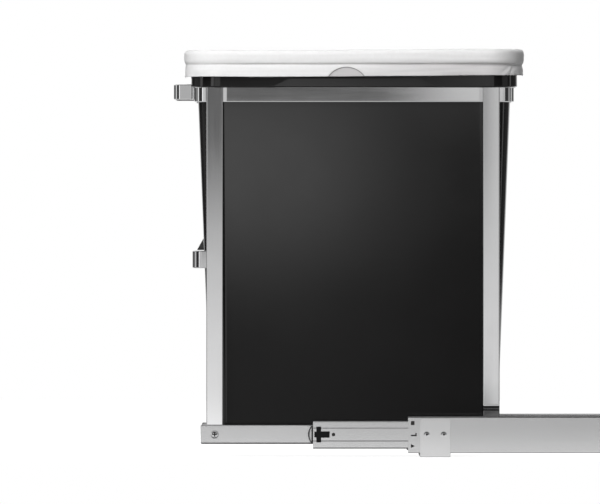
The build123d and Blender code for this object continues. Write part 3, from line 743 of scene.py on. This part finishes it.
film = bmesh.new()
places = film_loop(cuff_half, CUFF_CORNER)
loops = []
for half_x, half_y, corner, height, weight, fold in rows:
    loop = []
    for sx, sy, nx, ny in places:
        x = centre_x + sx * (half_x - corner) + nx * corner
        y = sy * (half_y - corner) + ny * corner
        move, z = fold(x, y, height, nx, ny, weight)
        loop.append(film.verts.new((x + nx * move, y + ny * move, z)))
    loops.append(loop)
for outer, inner in zip(loops, loops[1:]):
    for index, first in enumerate(outer):
        after = (index + 1) % len(outer)
        film.faces.new((first, outer[after], inner[after], inner[index]))
film.faces.new(loops[-1])
bmesh.ops.recalc_face_normals(film, faces=film.faces)
film_mesh = bpy.data.meshes.new("liner_film")
film.to_mesh(film_mesh)
film.free()
film_mesh.shade_smooth()
liner = bpy.data.objects.new("liner_film", film_mesh)
bpy.context.scene.collection.objects.link(liner)
thickness = liner.modifiers.new("film", "SOLIDIFY")
thickness.thickness = FILM_THICKNESS
thickness.offset = 0


def ramp(source, start, end, first=0.0, last=1.0, kind="SMOOTHSTEP"):
    """A change from a first level to a last one, as a value goes from a start to an end."""
    change = wired(source.id_data, "ShaderNodeMapRange",
                   {"Value": source, "From Min": start, "From Max": end, "To Min": first, "To Max": last},
                   interpolation_type=kind)
    return change.outputs["Result"]


def times(first, second):
    """The product of two values."""
    return wired(first.id_data, "ShaderNodeMath", {0: first, 1: second}, operation="MULTIPLY").outputs["Value"]


def size_of(value):
    """A value without its sign."""
    return wired(value.id_data, "ShaderNodeMath", {0: value}, operation="ABSOLUTE").outputs["Value"]


film_white, tree, shader = new_material("film_white")
here = wired(tree, "ShaderNodeTexCoord").outputs["Object"]
axes = wired(tree, "ShaderNodeSeparateXYZ", {"Vector": here}).outputs
aside = size_of(axes["Y"])
crinkle = wired(tree, "ShaderNodeTexNoise", {"Vector": here, "Scale": 260.0, "Detail": 4.0}).outputs["Fac"]
creases = wired(tree, "ShaderNodeTexNoise", {"Vector": here, "Scale": 17.0, "Detail": 2.0},
                noise_type="RIDGED_MULTIFRACTAL").outputs["Fac"]

# The film is painted greyer low on the cuff towards its back: partly the dark skirt showing through, partly painted
# shade.
milk = tinted((0.86, 0.86, 0.86, 1), (0.8, 0.795, 0.795, 1), crinkle)
skirt_through_and_shade = times(ramp(axes["X"], -0.33, -0.14), ramp(axes["Z"], 0.48, 0.4715))
skirt_through_and_shade = times(skirt_through_and_shade, ramp(aside, 0.1265, 0.1425))
colour = tinted(milk, (0.66, 0.647, 0.65, 1), skirt_through_and_shade)

# The half-moon has a painted shadow along its edge, and the film that is tucked into it is painted in shade.
CUFF_SIDE = 0.133
TUCK_EDGE_BLUR = 0.0003
from_tuck = wired(tree, "ShaderNodeVectorMath", {0: here, 1: (TUCK_X, 0, TUCK_CENTRE)}, operation="SUBTRACT")
flat = wired(tree, "ShaderNodeVectorMath", {0: from_tuck.outputs["Vector"], 1: (1, 0, 1)}, operation="MULTIPLY")
reach = wired(tree, "ShaderNodeVectorMath", {0: flat.outputs["Vector"]}, operation="LENGTH").outputs["Value"]
on_cuff = wired(tree, "ShaderNodeMath", {0: aside, 1: CUFF_SIDE}, operation="GREATER_THAN").outputs["Value"]
for radius, shade in ((TUCK_RADIUS + 0.0004, (0.12, 0.115, 0.115, 1)),
                      (TUCK_RADIUS - 0.0003, (0.6, 0.585, 0.59, 1))):
    within = ramp(reach, radius + TUCK_EDGE_BLUR, radius - TUCK_EDGE_BLUR)
    colour = tinted(colour, shade, times(within, on_cuff))

folded = wired(tree, "ShaderNodeMath", {0: creases, 1: 2.2, 2: crinkle}, operation="MULTIPLY_ADD")
bump = wired(tree, "ShaderNodeBump", {"Strength": 0.25, "Distance": 0.0004, "Height": folded.outputs["Value"]})
feed(shader, {"Base Color": colour, "Roughness": ramp(crinkle, 0.0, 1.0, 0.42, 0.58, "LINEAR"),
              "Subsurface Weight": 0.2, "Subsurface Radius": (0.004, 0.004, 0.004),
              "Normal": bump.outputs["Normal"]})
through = wired(tree, "ShaderNodeBsdfTranslucent", {"Color": colour})
thin = wired(tree, "ShaderNodeMixShader", {"Fac": 0.15, 1: shader.outputs["BSDF"], 2: through.outputs["BSDF"]})
feed(tree.nodes["Material Output"], {"Surface": thin.outputs["Shader"]})
film_mesh.materials.append(film_white)
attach(liner, "bucket")
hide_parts("liner_bag")


# Studio: a plain white floor, a pale room and three soft lamps, with a light card in front of the camera.
# Only gloss sees the card, and the ring of light and dark screens round the room.

def stage_sheet(name, size, turn, place, material):
    """A flat square of the stage."""
    shape = bmesh.new()
    bmesh.ops.create_grid(shape, x_segments=1, y_segments=1, size=size)
    bmesh.ops.rotate(shape, verts=shape.verts, cent=(0, 0, 0), matrix=Matrix.Rotation(math.radians(turn), 3, "X"))
    bmesh.ops.translate(shape, verts=shape.verts, vec=place)
    mesh = bpy.data.meshes.new(name)
    shape.to_mesh(mesh)
    shape.free()
    mesh.materials.append(material)
    sheet = bpy.data.objects.new(name, mesh)
    bpy.context.scene.collection.objects.link(sheet)
    return sheet


def brighter(first, second):
    """The larger of two values."""
    return wired(first.id_data, "ShaderNodeMath", {0: first, 1: second}, operation="MAXIMUM").outputs["Value"]


def grey(level):
    """A grey as a colour."""
    return level, level, level, 1


# The floor is white to the camera. Gloss sees a painted shadow on it: mid grey under the bin, dark under each slide,
# and light outside.
floor_white, tree, shader = new_material("floor_white")
path = wired(tree, "ShaderNodeLightPath").outputs
here = wired(tree, "ShaderNodeTexCoord").outputs["Object"]
aside = size_of(wired(tree, "ShaderNodeSeparateXYZ", {"Vector": here}).outputs["Y"])
shadow_under_rails = wired(tree, "ShaderNodeValToRGB", {"Fac": aside})
for stop, level in zip(shadow_under_rails.color_ramp.elements, (0.4, 0.9)):
    stop.color = grey(level)
for place, level in ((0.105, 0.4), (0.125, 0.06), (0.138, 0.06), (0.148, 0.72)):
    shadow_under_rails.color_ramp.elements.new(place).color = grey(level)
reflected = wired(tree, "ShaderNodeEmission", {"Color": shadow_under_rails.outputs["Color"]})
feed(shader, {"Base Color": grey(0.5), "Roughness": 0.9, "Specular IOR Level": 0.0, "Emission Color": grey(1.0),
              "Emission Strength": times(path["Is Camera Ray"], 0.94)})
either = wired(tree, "ShaderNodeMixShader", {"Fac": brighter(path["Is Glossy Ray"], path["Is Transmission Ray"]),
                                             1: shader.outputs["BSDF"], 2: reflected.outputs["Emission"]})
feed(tree.nodes["Material Output"], {"Surface": either.outputs["Shader"]})
floor = stage_sheet("floor", 4, 0, (0, 3.5, 0), floor_white)

# The room is white to the camera. It lights matt surfaces more from the left, and only gloss sees the screens.
world = bpy.data.worlds.new("studio")
bpy.context.scene.world = world
world.use_nodes = True
tree = world.node_tree
tree.nodes.clear()
path = wired(tree, "ShaderNodeLightPath").outputs
direction = wired(tree, "ShaderNodeTexCoord").outputs["Generated"]
axes = wired(tree, "ShaderNodeSeparateXYZ", {"Vector": direction}).outputs


def surround(depth, stops):
    """Light and dark screens round the object, from the front at 0 to the back at 1."""
    ring = wired(depth.id_data, "ShaderNodeValToRGB", {"Fac": ramp(depth, -1.0, 1.0, kind="LINEAR")})
    ring.color_ramp.interpolation = "EASE"
    for place, level in stops:
        ring.color_ramp.elements.new(place).color = grey(level)
    ring.color_ramp.elements.remove(ring.color_ramp.elements[0])
    ring.color_ramp.elements.remove(ring.color_ramp.elements[-1])
    return ring.outputs["Color"]


def blend(first, second, share):
    """One value fading into another."""
    return wired(share.id_data, "ShaderNodeMix", {"Factor": share, "A": first, "B": second}).outputs["Result"]


LEFT_SCREENS = ((0.0, 0.05), (0.35, 0.03), (0.39, 0.95), (0.45, 0.95), (0.5, 0.22), (0.72, 0.22),
                (0.83, 0.05), (0.92, 0.05), (0.97, 1.0))
RIGHT_SCREENS = ((0.0, 0.05), (0.22, 0.03), (0.27, 0.3), (0.42, 0.3), (0.5, 0.1), (0.55, 0.1),
                 (0.565, 1.0), (0.605, 1.0), (0.63, 0.12), (0.88, 0.12), (0.96, 1.0))
left_ring = surround(axes["Y"], LEFT_SCREENS)
right_ring = surround(axes["Y"], RIGHT_SCREENS)
screens = blend(left_ring, right_ring, ramp(axes["X"], -0.05, 0.05))
left_box = times(ramp(axes["X"], -0.2, -0.3), ramp(axes["X"], -0.43, -0.5, 0.5, 1.2))
left_box = times(left_box, ramp(axes["Y"], -0.76, -0.82))
ceiling = ramp(axes["Z"], 0.8, 0.97, 0.0, 0.4)
ground = ramp(axes["Z"], -0.2, -0.4, 0.0, 0.8)
high_back = times(ramp(axes["Z"], 0.12, 0.24, 0.0, 0.9), ramp(axes["Y"], -0.1, 0.2, 0.25, 1.0))
high_back = times(high_back, ramp(axes["Z"], 0.5, 0.68, 1.0, 0.3))
screens = brighter(brighter(brighter(screens, left_box), brighter(ceiling, ground)), high_back)
mirrored_room = wired(tree, "ShaderNodeBackground", {"Color": screens})
soft_room = wired(tree, "ShaderNodeBackground",
                  {"Color": grey(1.0), "Strength": ramp(axes["X"], -0.7, 0.6, 0.5, 0.06)})
room = wired(tree, "ShaderNodeMixShader", {"Fac": path["Is Glossy Ray"], 1: soft_room.outputs["Background"],
                                           2: mirrored_room.outputs["Background"]})
backdrop = wired(tree, "ShaderNodeBackground", {"Color": grey(1.0)})
seen = wired(tree, "ShaderNodeMixShader", {"Fac": brighter(path["Is Camera Ray"], path["Is Transmission Ray"]),
                                           1: room.outputs["Shader"], 2: backdrop.outputs["Background"]})
wired(tree, "ShaderNodeOutputWorld", {"Surface": seen.outputs["Shader"]})

# Upright faces mirror the card's two columns, which have a stepped lower edge. The bucket's side leans out, and
# mirrors the low patch. Faces that tilt up mirror the high patch, and faces turned to the left the far left.
CARD_PLACE = -6.635
card_light, tree, _ = new_material("card_light")
tree.nodes.clear()
here = wired(tree, "ShaderNodeTexCoord").outputs["Object"]
axes = wired(tree, "ShaderNodeSeparateXYZ", {"Vector": here}).outputs
left_column = times(ramp(axes["Z"], 0.075, 0.3, 0.85, 0.55, "LINEAR"), ramp(axes["Z"], 0.24, 0.46, 1.0, 0.22))
right_column = ramp(axes["Z"], 0.02, 0.45, 0.8, 0.66)
columns = blend(left_column, right_column, ramp(axes["X"], -0.2, 0.06))
columns = times(columns, ramp(axes["X"], 0.06, 0.3, 1.0, 0.8))
lower_edge = ramp(axes["Z"], -0.03, 0.0)
for bottom, top, left, right in ((0.0, 0.035, -0.45, -0.42), (-0.045, -0.015, -0.055, -0.042),
                                 (-0.12, -0.08, 0.02, 0.06)):
    lower_edge = blend(lower_edge, ramp(axes["Z"], bottom, top), ramp(axes["X"], left, right))
columns = times(columns, lower_edge)
far_left = ramp(axes["X"], -0.55, -0.9, 0.0, 0.65)
low_patch = times(ramp(axes["Z"], -0.38, -0.13, 0.19, 1.34), ramp(axes["X"], -0.4, -0.06, 1.0, 0.1))
low_patch = brighter(low_patch, ramp(axes["X"], -0.34, -0.05, 0.2, 0.08))
low_patch = times(low_patch, ramp(axes["Z"], -0.07, 0.09, 1.0, 0.0))
high_patch = times(ramp(axes["Z"], 0.62, 0.72, 0.0, 1.6), ramp(axes["X"], -0.3, 0.0, 0.3, 1.0))
high_patch = times(high_patch, ramp(axes["Z"], 0.85, 1.0, 1.0, 0.0))
glow = wired(tree, "ShaderNodeEmission",
             {"Strength": brighter(brighter(columns, brighter(low_patch, high_patch)), far_left)})
wired(tree, "ShaderNodeOutputMaterial", {"Surface": glow.outputs["Emission"]})
card = stage_sheet("light_card", 3, 90, (0, CARD_PLACE, 0), card_light)
card.visible_camera = False
card.visible_diffuse = False
card.visible_shadow = False


OBJECT_MIDDLE = Vector((-0.27, 0.0, 0.25))


def lamp(name, place, size, power):
    """A square soft lamp that points at the middle of the object, and isn't mirrored."""
    data = bpy.data.lights.new(name, "AREA")
    data.shape = "SQUARE"
    data.size = size
    data.energy = power
    light = bpy.data.objects.new(name, data)
    light.location = place
    light.rotation_euler = (OBJECT_MIDDLE - Vector(place)).to_track_quat("-Z", "Y").to_euler()
    light.visible_glossy = False
    bpy.context.scene.collection.objects.link(light)


lamp("key_lamp", (-0.62, -1.15, 1.0), size=0.8, power=16)
lamp("back_lamp", (0.7, 2.1, 1.2), size=1.2, power=30)
lamp("top_lamp", (-0.2, 0.1, 2.4), size=1.6, power=10)

# The camera stands far off and level, with a long lens, for a side view with next to no perspective.
camera_data = bpy.data.cameras.new("camera")
camera_data.sensor_width = 36
camera_data.lens = 1000
camera = bpy.data.objects.new("camera", camera_data)
camera.location = (-0.3296, -20.135, 0.2464)
camera.rotation_euler = (math.radians(90), 0, 0)
bpy.context.scene.collection.objects.link(camera)
bpy.context.scene.camera = camera
bpy.context.scene.view_settings.view_transform = "Standard"
